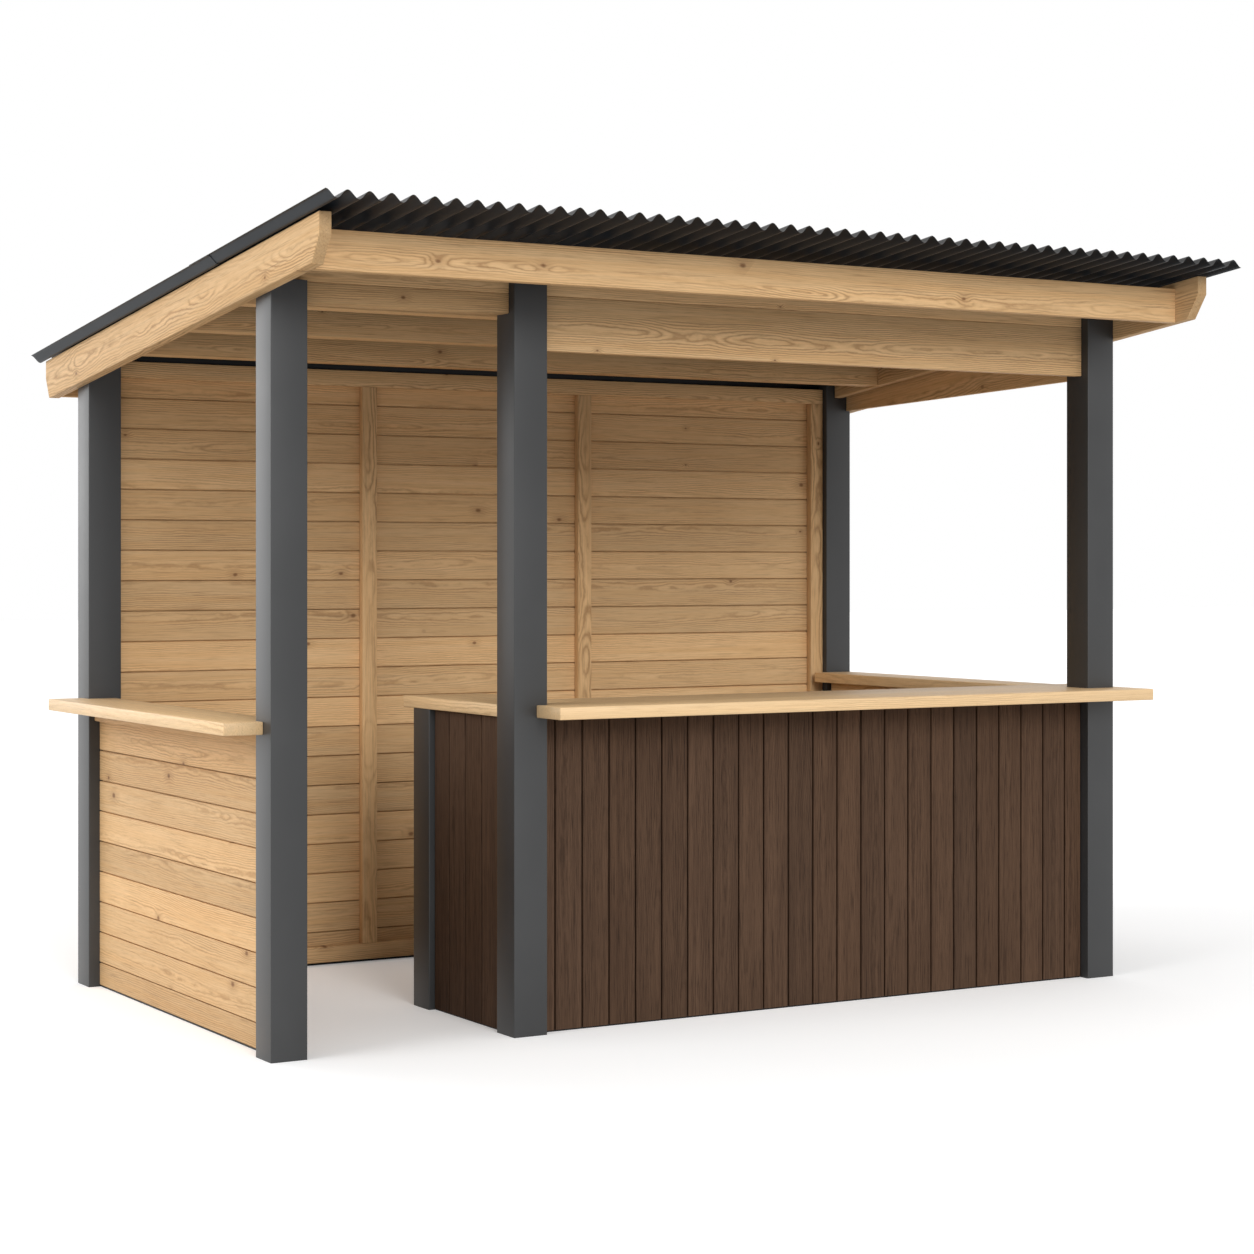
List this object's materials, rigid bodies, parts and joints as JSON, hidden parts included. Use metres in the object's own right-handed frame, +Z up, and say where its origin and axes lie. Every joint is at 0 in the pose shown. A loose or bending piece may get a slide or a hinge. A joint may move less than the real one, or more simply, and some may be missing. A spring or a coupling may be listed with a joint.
{
  "type": "outdoor garden bar",
  "caption": "Lean-to garden bar: square dark posts, boarded back and side walls, dark clad bar with wooden worktops, drinks shelf and black corrugated roof.",
  "frame": {"origin": "centre of the bounding box at ground level", "axes": "+X along the bar towards its closed right end, +Y from the serving front to the back wall, +Z up"},
  "size_m": [3.516, 2.6549, 2.5704],
  "materials": {
    "post_metal": "satin anthracite powder coat",
    "timber": "planed, clear oiled",
    "wall_boards": "planed boards, clear oiled",
    "worktop": "planed and oiled",
    "dark_cladding": "dark brown stain with fine grain",
    "roof_metal": "satin black coating"
  },
  "bodies": {
    "root": {"post_front_left": "post_metal", "post_front_middle": "post_metal", "post_front_right": "post_metal", "post_back_left": "post_metal", "post_back_right": "post_metal", "counter_post": "post_metal", "back_wall_boards": "wall_boards", "back_wall_top_rail": "timber", "back_wall_bottom_rail": "timber", "back_wall_battens": "timber", "back_wall_closure": "roof_metal", "left_wall_boards": "wall_boards", "left_wall_frame": "timber", "left_wall_top_rail": "timber", "drinks_shelf": "worktop", "right_wall_boards": "dark_cladding", "right_wall_frame": "timber", "bar_front_boards": "dark_cladding", "bar_front_frame": "timber", "bar_return_boards": "dark_cladding", "bar_return_frame": "timber", "worktop_front": "worktop", "worktop_left_return": "worktop", "worktop_right_return": "worktop", "bar_header": "timber", "entrance_header": "timber", "bar_upper_beam": "timber", "entrance_upper_beam": "timber", "right_gable_board": "timber", "inner_rafter_left": "timber", "inner_rafter_right": "timber", "verge_rafter_left": "timber", "verge_rafter_right": "timber", "front_fascia": "timber", "back_fascia": "timber", "purlin_front": "timber", "purlin_middle": "timber", "purlin_back": "timber", "roof_sheet_front_left": "roof_metal", "roof_sheet_front_middle": "roof_metal", "roof_sheet_front_right": "roof_metal", "roof_sheet_back_left": "roof_metal", "roof_sheet_back_middle": "roof_metal", "roof_sheet_back_right": "roof_metal"}
  },
  "joints": []
}
